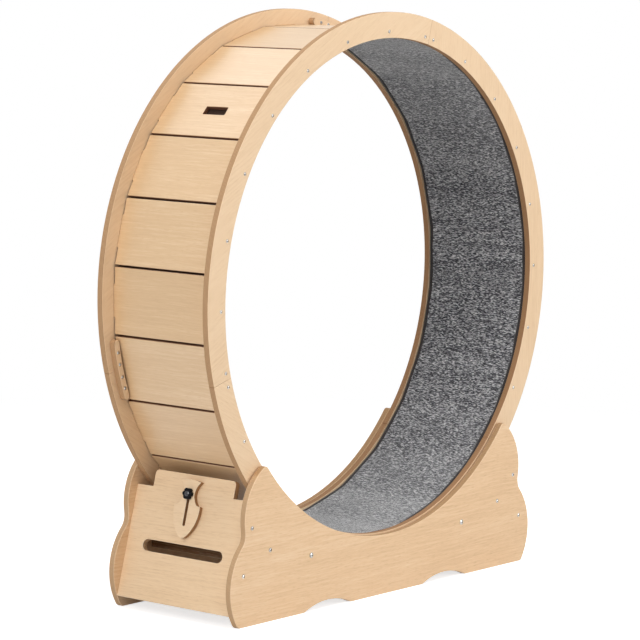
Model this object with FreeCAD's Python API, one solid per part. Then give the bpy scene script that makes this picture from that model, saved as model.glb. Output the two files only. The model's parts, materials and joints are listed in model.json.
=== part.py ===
import FreeCAD, Part
import math
import os

# Wooden cat exercise wheel: a drum of flat slats between two rings, turning on four rollers in a boarded base.
# Millimetres, +Z up. The origin is on the floor, under the middle of the drum, and the drum turns about Y.
# The front of the base, with the lock, is at -X. "Left" is the +Y side and "right" the -Y side.

# --- Boards ---
ring_board = 12.0  # rings and splice plates
base_board = 12.0  # side plates, end panels and braces
slat_board = 9.0  # slats
lock_board = 9.0  # lock slide

# --- Drum ---
drum_radius = 500.0
drum_width = 256.0  # between the outer faces of the two rings
rim_height = 65.5  # from the floor to the drum's lowest point
ring_depth = 47.0  # from the rim to the ring's inner edge
ring_pieces = 3
seam_gap = 0.3
slat_count = 24
slat_phase = 1.1  # degrees from +X to the middle of the first slat
slat_inset = 30.5  # from the rim to the middle of a slat's outer face
slat_gap = 1.6  # between the inner edges of two slats
slat_shoulder_gap = 1.5  # between a slat's shoulder and the ring
tab_width = 60.0
mortise_depth = 5.0
mortise_clearance = 0.1
seam_slat = 13  # the slat under the front seam of the rings
catch_slat = 9  # the slat with the hole for the lock
catch_hole_width = 49.0
catch_hole_height = 17.5
carpet_thickness = 5.0
soft_clearance = 0.3

# --- Splice plates behind the ring seams ---
splice_width = 13.0
splice_length = 114.0
splice_slat_clearance = 1.0

# --- Small screws of the drum ---
small_head_radius = 3.6
small_head_height = 1.8
seam_screw_offset = 12.8  # along the ring, from the seam
splice_screw_offsets = (11.8, 33.7)  # along the plate, from the seam

# --- Base ---
side_clearance = 3.0  # between a ring and its side plate
cradle_gap = 2.0  # how much wider than the ring's inner edge the plate's hollow is
upper_lobe_inset = 138.5  # from where the end panel would meet the floor, towards the middle
upper_lobe_level = 187.0
upper_lobe_radius = 105.0
lower_lobe_inset = 107.0
lower_lobe_level = 66.0
lower_lobe_radius = 110.0
waist_radius = 30.0
horn_fillet = 8.0
foot_fillet = 10.0
arch_start = 108.0  # from the middle of the plate
arch_length = 134.0
arch_rise = 14.0
arch_fillet = 12.0

# --- End panels ---
panel_tilt = 15.0  # degrees from upright, leaning towards the drum
panel_clearance = 13.0  # between its upper inner corner and the slats that pass it
panel_bottom = 22.5  # heights here run up the panel's face from the floor
panel_top = 257.0
panel_shoulder = 226.0
panel_tab_gap = 22.0  # between the narrowed top and the rings
panel_tab_corner = 8.0
grip_length = 186.0
grip_height = 21.0
grip_level = 121.0
panel_screw_levels = (96.0, 181.0)

# --- Cross braces ---
brace_inset = 103.0  # from where the end panel would meet the floor
brace_level = 128.0
brace_height = 60.0

# --- Base screws ---
screw_head_radius = 4.4
screw_head_height = 2.2

# --- Small round pieces, drawn many-sided ---
roller_sides = 20
small_sides = 12
screw_sides = 6

# --- Rollers ---
roller_angle = 26.0  # degrees from straight down
roller_tread_radius = 15.2
roller_flange_height = 4.8
roller_flange = 2.0
rim_clearance = 0.3
groove_clearance = 0.5
bearing_radius = 9.5
bearing_width = 6.0
bearing_seat_clearance = 0.02
bearing_play = 0.1
shaft_radius = 3.0
shaft_clearance = 0.05
shoulder_radius = 4.0
shaft_tail = 0.6  # how far the shaft stands out of its nut
axle_head_radius = 5.0
axle_head_height = 2.4
nut_flats = 10.0
nut_height = 5.0

# --- Lock ---
lock_gap = 0.2  # between the slide and the panel
lock_slot_clearance = 0.5
lock_slot_bottom = 164.5
stud_level = 222.0
stud_radius = 2.5
stud_head_radius = 6.0
stud_head_height = 2.4
stud_reach = 5.5  # how far the stud goes into the knob
knob_radius = 10.8
knob_height = 8.0
knob_lobes = 6
knob_lobe_radius = 5.0
knob_gap = 0.2

# --- Sizes that follow ---
hub_height = drum_radius + rim_height
hub = FreeCAD.Vector(0, 0, hub_height)
y_axis = FreeCAD.Vector(0, 1, 0)
z_axis = FreeCAD.Vector(0, 0, 1)
pitch = 360.0 / slat_count
half_pitch = math.radians(pitch / 2)
ring_inner_radius = drum_radius - ring_depth
ring_inner_face = drum_width / 2 - ring_board
ring_middle = ring_inner_face + ring_board / 2
slat_outer = drum_radius - slat_inset
slat_inner = slat_outer - slat_board
slat_middle = slat_inner + slat_board / 2
slat_width = 2 * slat_inner * math.tan(half_pitch) - slat_gap / math.cos(half_pitch)
slat_corner_radius = math.hypot(slat_outer, slat_width / 2)
seam_step = slat_count // ring_pieces
splice_middle = slat_corner_radius + splice_slat_clearance + splice_width / 2
plate_inner_face = drum_width / 2 + side_clearance
plate_outer_face = plate_inner_face + base_board
cradle_radius = ring_inner_radius + cradle_gap
axle_reach = drum_radius + rim_clearance + roller_tread_radius
roller_flange_radius = roller_tread_radius + roller_flange_height
panel_tab_half = ring_inner_face - panel_tab_gap
lock_slot_width = 2 * (stud_radius + lock_slot_clearance)
tilt_sine = math.sin(math.radians(panel_tilt))
tilt_cosine = math.cos(math.radians(panel_tilt))
panel_drop = hub_height - panel_top * tilt_cosine + base_board * tilt_sine
panel_reach = math.sqrt((slat_corner_radius + panel_clearance) ** 2 - panel_drop**2)
panel_foot = panel_reach + panel_top * tilt_sine + base_board * tilt_cosine
brace_reach = panel_foot - brace_inset


def vec(x, y, z=0.0):
    """A point or direction."""
    return FreeCAD.Vector(x, y, z)


def on_drum(shape, degrees):
    """Turn a shape made on the drum's +X side about the drum's axis, with the axis at its height."""
    turned = shape.copy()
    turned.rotate(vec(0, 0), -y_axis, degrees)
    turned.translate(hub)
    return turned


def slat_angle(index):
    """The angle from +X to the middle of a slat."""
    return slat_phase + index * pitch


def seam_angles():
    """The angles of the ring seams, each over the middle of a slat."""
    return [slat_angle(seam_slat + step * seam_step) for step in range(ring_pieces)]


def box(low, high):
    """A box between two corners."""
    size = high - low
    return Part.makeBox(size.x, size.y, size.z, low)


def face_of(edges):
    """The flat face inside a closed run of edges."""
    return Part.Face(Part.Wire(edges))


def arc(start, middle, end):
    """The edge of the arc through three points."""
    return Part.Arc(start, middle, end).toShape()


def line(start, end):
    """A straight edge."""
    return Part.makeLine(start, end)


def polygon(points):
    """The flat face inside a closed run of points."""
    return Part.Face(Part.makePolygon(points + points[:1]))


def rounded(solid, centres, radius, axis):
    """Round the edges of a solid that run along an axis through the given places."""
    chosen = []
    for edge in solid.Edges:
        if not isinstance(edge.Curve, Part.Line) or abs(edge.Curve.Direction.dot(axis)) < 0.999:
            continue
        if any((edge.CenterOfMass - centre).cross(axis).Length < 0.01 for centre in centres):
            chosen.append(edge)
    return solid.makeFillet(radius, chosen)


def prism(radius, sides, length, place, start):
    """A regular bar along +Y from the height start on the line through a place, its corners on a circle."""
    step = 2 * math.pi / sides
    turns = [step * (side + 0.5) for side in range(sides)]
    points = [vec(place.x + radius * math.cos(turn), start, place.z + radius * math.sin(turn)) for turn in turns]
    return polygon(points).extrude(y_axis * length)


def bore(radius, sides, length, place, start):
    """A bar like prism's that is cut out to let a round of this radius through, its flats on the circle."""
    return prism(radius / math.cos(math.pi / sides), sides, length, place, start)


def mirrored(shape):
    """The same piece on the other side of the drum."""
    return shape.mirror(vec(0, 0), y_axis)


def save(name, *solids):
    """Write one named sub-part."""
    shape = solids[0] if len(solids) == 1 else Part.makeCompound(list(solids))
    shape.exportStep("parts/" + name + ".step")


# --- Drum ---


def slat():
    """A flat board across the drum on its +X side, with a tab at each end for the ring's mortise."""
    shoulder = ring_inner_face - slat_shoulder_gap
    tip = ring_inner_face + mortise_depth - mortise_clearance
    edge = slat_width / 2
    tab = tab_width / 2
    half = [(-shoulder, edge), (shoulder, edge), (shoulder, tab), (tip, tab), (tip, -tab), (shoulder, -tab)]
    outline = half + [(-y, -z) for y, z in half]
    outline = [vec(slat_inner, y, z) for y, z in dict.fromkeys(outline)]
    return polygon(outline).extrude(vec(slat_board, 0))


def slats():
    """All the slats round the drum, the catch slat with its hole."""
    plain = slat()
    hole_width = vec(0, catch_hole_width / 2)
    hole_height = vec(0, 0, catch_hole_height / 2)
    reach = hole_width + hole_height
    hole = box(vec(slat_inner, 0) - reach, vec(slat_outer, 0) + reach)
    for index in range(slat_count):
        shape = plain.cut(hole) if index == catch_slat else plain
        save("slat_%02d" % (index + 1), on_drum(shape, slat_angle(index)))


def ring():
    """The left ring, whole, with a mortise for each slat's tab."""
    place = vec(0, ring_inner_face, hub_height)
    shape = Part.makeCylinder(drum_radius, ring_board, place, y_axis)
    shape = shape.cut(Part.makeCylinder(ring_inner_radius, ring_board, place, y_axis))
    half_width = tab_width / 2 + mortise_clearance
    low = vec(slat_inner - mortise_clearance, ring_inner_face, -half_width)
    high = vec(slat_outer + mortise_clearance, ring_inner_face + mortise_depth, half_width)
    mortise = box(low, high)
    return shape.cut([on_drum(mortise, slat_angle(index)) for index in range(slat_count)])


def turn_from(angle, solid):
    """How far round the drum a solid's middle lies from an angle, in degrees."""
    middle = solid.CenterOfMass - hub
    return (math.degrees(math.atan2(middle.z, middle.x)) - angle) % 360


def ring_segments():
    """Both rings, each sawn into equal segments at its seams."""
    low = vec(ring_inner_radius - 1, ring_inner_face, -seam_gap / 2)
    high = vec(drum_radius + 1, ring_inner_face + ring_board, seam_gap / 2)
    saw = box(low, high)
    cut = ring().cut([on_drum(saw, angle) for angle in seam_angles()])
    ordered = sorted(cut.Solids, key=lambda solid: turn_from(seam_angles()[0], solid))
    for number, segment in enumerate(ordered, 1):
        save("ring_left_%d" % number, segment)
        save("ring_right_%d" % number, mirrored(segment))


def splice_plates():
    """The curved plates with round ends that hold the ring segments together, in the channel outside the slats."""
    cap = splice_width / 2
    spread = (splice_length / 2 - cap) / splice_middle

    def at(radius, angle):
        return vec(radius * math.cos(angle), ring_inner_face - ring_board, radius * math.sin(angle))

    def end(side):
        tip = at(splice_middle, side * spread) + vec(-math.sin(spread) * cap, 0, side * math.cos(spread) * cap)
        return arc(at(splice_middle + cap, side * spread), tip, at(splice_middle - cap, side * spread))

    outer = arc(*[at(splice_middle + cap, side * spread) for side in (-1, 0, 1)])
    inner = arc(*[at(splice_middle - cap, side * spread) for side in (-1, 0, 1)])
    plate = face_of([outer, end(1), inner, end(-1)]).extrude(y_axis * ring_board)
    left = [on_drum(plate, angle) for angle in seam_angles()]
    save("splice_plates_left", *left)
    save("splice_plates_right", *[mirrored(shape) for shape in left])


def carpet():
    """The running surface: one strip of carpet that lines the slats all the way round."""
    outer = slat_inner - soft_clearance
    inner = outer - carpet_thickness
    half_width = ring_inner_face - soft_clearance

    def many_sided(apothem):
        corner = vec(apothem, -half_width, apothem * math.tan(half_pitch))
        prism = polygon([on_drum(Part.Vertex(corner), slat_angle(k)).Point for k in range(slat_count)])
        return prism.extrude(y_axis * 2 * half_width)

    save("carpet", many_sided(outer).cut(many_sided(inner)))


def small_head(radius, start):
    """The head of a small screw at a radius of the drum, on a face that looks along +Y."""
    return prism(small_head_radius, screw_sides, small_head_height, vec(radius, 0), start)


def drum_screws():
    """Screws through the rings into the slats, two at each seam, and screws through the splice plates."""
    ring_heads = []
    for index in range(slat_count):
        at_seam = (index - seam_slat) % seam_step == 0
        turn = math.degrees(seam_screw_offset / slat_middle)
        for side in ((-turn, turn) if at_seam else (0,)):
            ring_heads.append(on_drum(small_head(slat_middle, drum_width / 2), slat_angle(index) + side))
    splice_heads = []
    for angle in seam_angles():
        for offset in splice_screw_offsets:
            for side in (-1, 1):
                turn = side * math.degrees(offset / splice_middle)
                splice_heads.append(on_drum(small_head(splice_middle, ring_board - ring_inner_face), angle + turn))
    save("ring_screws", *ring_heads, *[mirrored(head) for head in ring_heads])
    save("splice_screws", *splice_heads, *[mirrored(head) for head in splice_heads])


# --- Base ---


def tangent_circle(first, first_radius, second, second_radius, radius):
    """The centre of a circle that touches two others from outside, on their +X side."""
    to_second = second - first
    distance = to_second.Length
    along = to_second / distance
    near = first_radius + radius
    far = second_radius + radius
    step = (near**2 - far**2 + distance**2) / (2 * distance)
    return first + along * step + vec(-along.z, 0, along.x) * math.sqrt(near**2 - step**2)


def towards(centre, target, radius):
    """The point of a circle that lies towards a target."""
    return centre + (target - centre).normalize() * radius


def arc_on(centre, radius, start, end):
    """The shorter arc of a circle between two of its points."""
    return arc(start, towards(centre, (start + end) / 2, radius), end)


def horn_point(lobe):
    """Where the upper lobe meets the round hollow that the drum turns in."""
    reach = (lobe - hub).Length
    step = (cradle_radius**2 - upper_lobe_radius**2 + reach**2) / (2 * reach)
    along = (lobe - hub) / reach
    return hub + along * step + vec(-along.z, 0, along.x) * math.sqrt(cradle_radius**2 - step**2)


def flank():
    """The +X edge of a side plate from horn to foot, as arcs that run into each other."""
    upper = vec(panel_foot - upper_lobe_inset, 0, upper_lobe_level)
    lower = vec(panel_foot - lower_lobe_inset, 0, lower_lobe_level)
    waist = tangent_circle(upper, upper_lobe_radius, lower, lower_lobe_radius, waist_radius)
    into_waist = towards(upper, waist, upper_lobe_radius)
    out_of_waist = towards(lower, waist, lower_lobe_radius)
    foot = lower + vec(math.sqrt(lower_lobe_radius**2 - lower.z**2), 0, -lower.z)
    horn = horn_point(upper)
    edges = [
        arc_on(upper, upper_lobe_radius, horn, into_waist),
        arc_on(waist, waist_radius, into_waist, out_of_waist),
        arc_on(lower, lower_lobe_radius, out_of_waist, foot),
    ]
    return edges, horn, foot


def arch(side):
    """The shallow arch in the plate's bottom edge on one side."""
    near = vec(side * arch_start, 0)
    far = vec(side * (arch_start + arch_length), 0)
    return near, arc(near, (near + far) / 2 + z_axis * arch_rise, far), far


def flip(item):
    """An edge or a point on the other side of x = 0."""
    if isinstance(item, FreeCAD.Vector):
        return vec(-item.x, item.y, item.z)
    return item.mirror(vec(0, 0), vec(1, 0))


def plate_blank():
    """A side plate standing on the floor in the plane y = 0, with its edges rounded but no holes."""
    edges, horn, foot = flank()
    near, arch_edge, far = arch(1)
    edges += [line(foot, far), arch_edge]
    edges += [flip(edge) for edge in edges]
    edges.append(line(near, flip(near)))
    edges.append(arc(flip(horn), hub - z_axis * cradle_radius, horn))
    blank = Part.Face(Part.Wire(Part.__sortEdges__(edges))).extrude(y_axis * base_board)
    for corners, radius in (((horn,), horn_fillet), ((foot,), foot_fillet), ((near, far), arch_fillet)):
        both = list(corners) + [flip(corner) for corner in corners]
        blank = rounded(blank, both, radius, y_axis)
    return blank


def panel_placement(side):
    """The frame of an end panel: X to the right seen from outside, Y up its face, Z outward. Side -1 is the front."""
    across = vec(0, side)
    up = vec(-side * tilt_sine, 0, tilt_cosine)
    out = vec(side * tilt_cosine, 0, tilt_sine)
    frame = FreeCAD.Matrix(
        across.x, up.x, out.x, side * panel_foot,
        across.y, up.y, out.y, 0,
        across.z, up.z, out.z, 0,
        0, 0, 0, 1,
    )
    return FreeCAD.Placement(frame)


def in_panel(shape, side):
    """Put a shape made in a panel's own frame in its place."""
    placed = shape.copy()
    placed.Placement = panel_placement(side).multiply(placed.Placement)
    return placed


def obround(bottom, top, width, low, high):
    """An upright round-ended bar, for cutting a slot."""
    radius = width / 2
    middle = box(vec(-radius, bottom + radius, low), vec(radius, top - radius, high))
    ends = [Part.makeCylinder(radius, high - low, vec(0, level, low)) for level in (bottom + radius, top - radius)]
    return middle.fuse(ends)


def screw_places():
    """Where the base screws go through a side plate, seen along Y."""
    places = []
    for side in (-1, 1):
        for level in panel_screw_levels:
            places.append(panel_placement(side).multVec(vec(0, level, -base_board / 2)))
        places.append(vec(side * brace_reach, 0, brace_level))
    return places


def axle_places():
    """Where the roller axles stand, seen along Y: one on each side of the middle."""
    angle = math.radians(roller_angle)
    drop = hub - z_axis * axle_reach * math.cos(angle)
    return [drop + vec(side * axle_reach * math.sin(angle), 0) for side in (-1, 1)]


def side_plates():
    """The two side plates with the holes of the roller axles."""
    plate = plate_blank()
    plate.translate(y_axis * plate_inner_face)
    hole_radius = shoulder_radius + shaft_clearance
    starts = [vec(place.x, plate_inner_face, place.z) for place in axle_places()]
    plate = plate.cut([Part.makeCylinder(hole_radius, base_board, start, y_axis) for start in starts])
    save("side_plate_left", plate)
    save("side_plate_right", mirrored(plate))


def end_panel(side):
    """A sloping end panel, narrowed at its top to reach between the rings, with a grip slot."""
    half = plate_inner_face
    right = [(half, panel_bottom), (half, panel_shoulder), (panel_tab_half, panel_shoulder), (panel_tab_half, panel_top)]
    outline = right + [(-x, y) for x, y in reversed(right)]
    blank = polygon([vec(x, y, -base_board) for x, y in outline]).extrude(z_axis * base_board)
    corners = [vec(x, panel_top) for x in (-panel_tab_half, panel_tab_half)]
    blank = rounded(blank, corners, panel_tab_corner, z_axis)
    grip = obround(-grip_length / 2, grip_length / 2, grip_height, -base_board, 0)
    grip.rotate(vec(0, 0), z_axis, 90)
    grip.translate(vec(0, grip_level))
    blank = blank.cut(grip)
    if side < 0:
        hole = bore(stud_radius + shaft_clearance, small_sides, base_board, vec(0, 0), -base_board)
        blank = blank.cut(on_stud(hole))
    return in_panel(blank, side)


def brace(side):
    """An upright board between the side plates, below the drum."""
    low = vec(side * brace_reach - base_board / 2, -plate_inner_face, brace_level - brace_height / 2)
    high = vec(side * brace_reach + base_board / 2, plate_inner_face, brace_level + brace_height / 2)
    return box(low, high)


def base_screws():
    """The heads of the screws that hold the panels and braces between the side plates."""
    start = plate_outer_face
    heads = [prism(screw_head_radius, screw_sides, screw_head_height, place, start) for place in screw_places()]
    save("base_screws", *heads, *[mirrored(head) for head in heads])


# --- Rollers ---


def roller(place):
    """A grooved roller that the ring's rim runs in, bored for its bearing."""
    groove = ring_board / 2 + groove_clearance
    end = groove + roller_flange
    body = prism(roller_tread_radius, roller_sides, 2 * end, place, ring_middle - end)
    for start in (-end, groove):
        body = body.fuse(prism(roller_flange_radius, roller_sides, roller_flange, place, ring_middle + start))
    seat = bore(bearing_radius + bearing_seat_clearance, small_sides, 2 * end, place, ring_middle - end)
    return body.removeSplitter().cut(seat)


def bearing(place):
    """The bearing pressed into a roller."""
    start = ring_middle - bearing_width / 2
    outside = prism(bearing_radius, small_sides, bearing_width, place, start)
    return outside.cut(bore(shaft_radius + shaft_clearance, small_sides, bearing_width, place, start))


def axle(place):
    """A shouldered bolt: its thick part fills the side plate and spaces the bearing, and its thin part carries it."""
    shoulder = ring_middle + bearing_width / 2 + bearing_play
    tip = nut_start() - shaft_tail
    shaft = prism(shaft_radius, small_sides, shoulder - tip, place, tip)
    thick = prism(shoulder_radius, small_sides, plate_outer_face - shoulder, place, shoulder)
    head = prism(axle_head_radius, small_sides, axle_head_height, place, plate_outer_face)
    return shaft.fuse([thick, head])


def nut_start():
    """The inner end of the nut that keeps a bearing on its axle."""
    return ring_middle - bearing_width / 2 - bearing_play - nut_height


def nut(place):
    """The hexagonal nut that keeps a bearing on its axle."""
    hexagon = bore(nut_flats / 2, 6, nut_height, place, nut_start())
    return hexagon.cut(bore(shaft_radius + shaft_clearance, small_sides, nut_height, place, nut_start()))


def rollers():
    """The four rollers under the rings, with their bearings, axles and nuts."""
    bolts = []
    nuts = []
    for end, place in zip(("front", "rear"), axle_places()):
        for side, across in (("left", lambda shape: shape), ("right", mirrored)):
            save("roller_%s_%s" % (end, side), across(roller(place)))
            save("bearing_%s_%s" % (end, side), across(bearing(place)))
            bolts.append(across(axle(place)))
            nuts.append(across(nut(place)))
    save("roller_axles", *bolts)
    save("axle_nuts", *nuts)


# --- Lock ---


def lock_slide():
    """The fish-shaped slide, in the front panel's frame: nose down, barbs at its gills, tail up."""
    tail = [(-22.7, 245.0), (0, 248.0), (22.7, 245.0)]
    narrowing = [(22.7, 245.0), (13.4, 230.5), (11.9, 220.5)]
    neck = [(11.9, 220.5), (15.6, 211.0), (21.4, 202.8)]
    belly = [(29.4, 202.0), (25.2, 171.7), (8.4, 146.6)]
    nose = [(8.4, 146.6), (0, 143.2), (-8.4, 146.6)]
    edges = [arc(*[vec(x, y) for x, y in points]) for points in (tail, nose)]
    for side in (-1, 1):
        for points in (narrowing, neck, belly):
            edges.append(arc(*[vec(side * x, y) for x, y in points]))
        edges.append(line(vec(side * neck[-1][0], neck[-1][1]), vec(side * belly[0][0], belly[0][1])))
    fish = Part.Face(Part.Wire(Part.__sortEdges__(edges))).extrude(z_axis * lock_board)
    slot_top = stud_level + lock_slot_width / 2
    fish = fish.cut(obround(lock_slot_bottom, slot_top, lock_slot_width, 0, lock_board))
    fish.translate(z_axis * lock_gap)
    return fish


def lock_stud():
    """The stud that the slide runs on, with its round head behind the panel."""
    inner_face = -base_board
    top = lock_gap + lock_board + knob_gap + stud_reach
    head = prism(stud_head_radius, small_sides, stud_head_height, vec(0, 0), inner_face - stud_head_height)
    shank = prism(stud_radius, small_sides, top - inner_face, vec(0, 0), inner_face)
    return on_stud(head.fuse(shank))


def on_stud(shape):
    """Put a shape made along +Y on the stud's line, in the front panel's frame, with y running outward."""
    placed = shape.copy()
    placed.rotate(vec(0, 0), vec(1, 0), 90)
    placed.translate(vec(0, stud_level))
    return placed


def lock_knob():
    """The knob that clamps the slide: six round lobes that meet in valleys, with a blind bore for the stud."""
    reach = knob_radius - knob_lobe_radius
    half_step = math.pi / knob_lobes
    valley = reach * math.cos(half_step) + math.sqrt(knob_lobe_radius**2 - (reach * math.sin(half_step)) ** 2)
    start = lock_gap + lock_board + knob_gap

    def at(radius, turn):
        return vec(radius * math.cos(turn), start, radius * math.sin(turn))

    turns = [2 * lobe * half_step for lobe in range(knob_lobes)]
    lobes = [
        arc(at(valley, turn - half_step), at(knob_radius, turn), at(valley, turn + half_step)) for turn in turns
    ]
    body = face_of(lobes).extrude(y_axis * knob_height)
    depth = stud_reach + knob_gap
    hole = bore(stud_radius + shaft_clearance, small_sides, depth, vec(0, 0), start)
    return on_stud(body.cut(hole))


def lock():
    """The lock on the front panel."""
    save("lock_slide", in_panel(lock_slide(), -1))
    save("lock_stud", in_panel(lock_stud(), -1))
    save("lock_knob", in_panel(lock_knob(), -1))


os.makedirs("parts", exist_ok=True)
slats()
ring_segments()
splice_plates()
carpet()
drum_screws()
side_plates()
for end_name, end_side in (("front", -1), ("rear", 1)):
    save(end_name + "_panel", end_panel(end_side))
    save(end_name + "_brace", brace(end_side))
base_screws()
rollers()
lock()
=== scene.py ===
import json
import logging
import math
from dataclasses import dataclass
from enum import Enum
from functools import partial, reduce
from typing import Callable, Iterable, Sequence

import bpy
from mathutils import Matrix, Vector, noise


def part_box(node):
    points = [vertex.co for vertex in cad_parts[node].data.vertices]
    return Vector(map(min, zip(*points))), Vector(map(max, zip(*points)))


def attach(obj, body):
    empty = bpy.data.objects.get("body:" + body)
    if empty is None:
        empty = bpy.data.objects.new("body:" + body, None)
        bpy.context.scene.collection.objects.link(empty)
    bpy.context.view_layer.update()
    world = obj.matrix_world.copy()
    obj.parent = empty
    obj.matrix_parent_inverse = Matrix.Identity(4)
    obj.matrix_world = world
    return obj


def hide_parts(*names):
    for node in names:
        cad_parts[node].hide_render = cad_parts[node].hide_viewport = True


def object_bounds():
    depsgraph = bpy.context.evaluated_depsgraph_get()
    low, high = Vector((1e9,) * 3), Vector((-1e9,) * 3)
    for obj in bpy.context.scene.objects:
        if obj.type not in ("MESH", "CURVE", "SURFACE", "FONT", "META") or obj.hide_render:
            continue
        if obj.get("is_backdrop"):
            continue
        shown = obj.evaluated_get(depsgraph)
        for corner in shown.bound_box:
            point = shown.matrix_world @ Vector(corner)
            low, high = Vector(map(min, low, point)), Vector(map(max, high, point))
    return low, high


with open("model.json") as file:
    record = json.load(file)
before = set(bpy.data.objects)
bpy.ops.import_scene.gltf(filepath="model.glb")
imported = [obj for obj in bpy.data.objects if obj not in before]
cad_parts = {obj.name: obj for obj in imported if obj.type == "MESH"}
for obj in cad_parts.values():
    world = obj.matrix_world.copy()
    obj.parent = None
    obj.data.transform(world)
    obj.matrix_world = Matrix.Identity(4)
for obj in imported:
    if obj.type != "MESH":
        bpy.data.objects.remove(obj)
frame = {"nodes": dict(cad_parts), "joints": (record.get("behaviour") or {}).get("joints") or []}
CAD_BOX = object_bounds()

Colour = tuple[float, float, float, float]
Reach = float | Callable[[float], float]  # a radius, or what gives it at each turn, in radians
Outline = Sequence[tuple[Reach, float]]
Socket = bpy.types.NodeSocket

log = logging.getLogger("cat_wheel")
UP = Vector((0, 0, 1))
DRUM_AXIS = Vector((0, 1, 0))
WHITE: Colour = (1.0, 1.0, 1.0, 1.0)
HERE = Matrix.Identity(4)
SLATS = sorted(name for name in frame["nodes"] if name.startswith("slat_"))


def srgb(*screen: int) -> Colour:
    """The linear colour of three screen values, red, green and blue, from 0 to 255."""
    parts = [value / 255 for value in screen]
    return (*[part / 12.92 if part <= 0.04045 else ((part + 0.055) / 1.055) ** 2.4 for part in parts], 1.0)


def corners(node: str) -> list[Vector]:
    """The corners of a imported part's mesh, each place once."""
    places = {tuple(round(value, 6) for value in vertex.co) for vertex in frame["nodes"][node].data.vertices}
    return [Vector(place) for place in sorted(places)]


def joint_named(name: str) -> dict:
    """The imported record's joint of that name."""
    return next(joint for joint in frame["joints"] if joint["name"] == name)


HUB = Vector(joint_named("wheel_spin")["pos_m"])
LOCK_OUT = Vector(joint_named("lock_knob_turn")["axis"])


def turn_of(node: str) -> float:
    """The angle of a drum part's middle about the drum's axis.

    Args:
        node: The part's name.

    Returns:
        The angle from +X towards +Z, in radians.
    """
    places = corners(node)
    middle = sum(places, Vector()) / len(places)
    return math.atan2(middle.z - HUB.z, middle.x - HUB.x)


def radial(angle: float) -> Vector:
    """The outward direction at an angle about the drum's axis."""
    return Vector((math.cos(angle), 0, math.sin(angle)))


# --- Materials ---


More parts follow.
